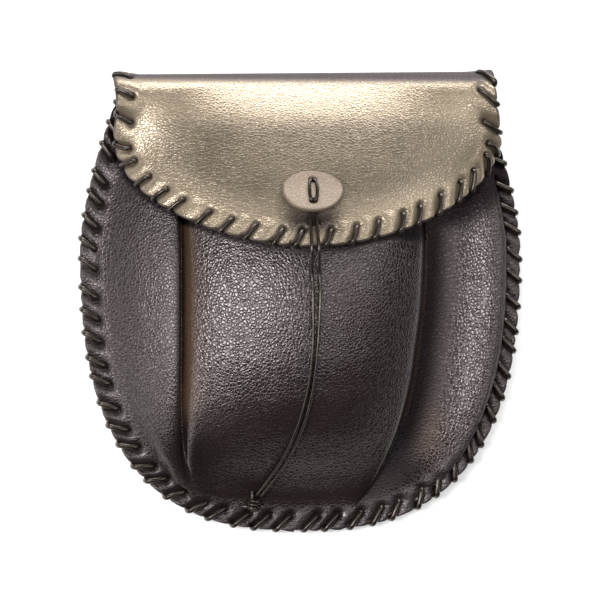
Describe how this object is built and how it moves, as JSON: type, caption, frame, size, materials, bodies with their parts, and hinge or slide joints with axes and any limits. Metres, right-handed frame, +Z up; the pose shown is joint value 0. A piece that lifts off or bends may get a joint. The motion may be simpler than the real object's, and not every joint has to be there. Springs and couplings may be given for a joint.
{
  "type": "sporran pouch",
  "caption": "Laced leather belt pouch with a rounded fold-over flap, a pleated full front, an oval leather toggle on a knotted tie cord and a belt loop on the back.",
  "frame": {"origin": "on the surface that the pouch lies on, under the middle of its outline", "axes": "+Z up, out of the pouch's front; +Y from the toe to the fold; +X to the right, seen from the front"},
  "size_m": [0.1726, 0.1756, 0.0454],
  "materials": {
    "flap_leather": "satin bronze-brown pebbled leather, dark on the fold and the back",
    "body_leather": "satin dark purple-brown pebbled leather",
    "toggle_leather": "smooth tan leather with a raw edge",
    "lace": "dark brown waxed round lace"
  },
  "bodies": {
    "root": {"back_and_flap": "flap_leather", "front_panel": "body_leather", "body_lacing": "lace", "flap_lacing": "lace", "toggle_disc": "toggle_leather", "toggle_stitch_left": "lace", "toggle_stitch_right": "lace", "tie_cord_left": "lace", "tie_cord_right": "lace", "tie_knot": "lace", "belt_loop": "body_leather"}
  },
  "joints": []
}
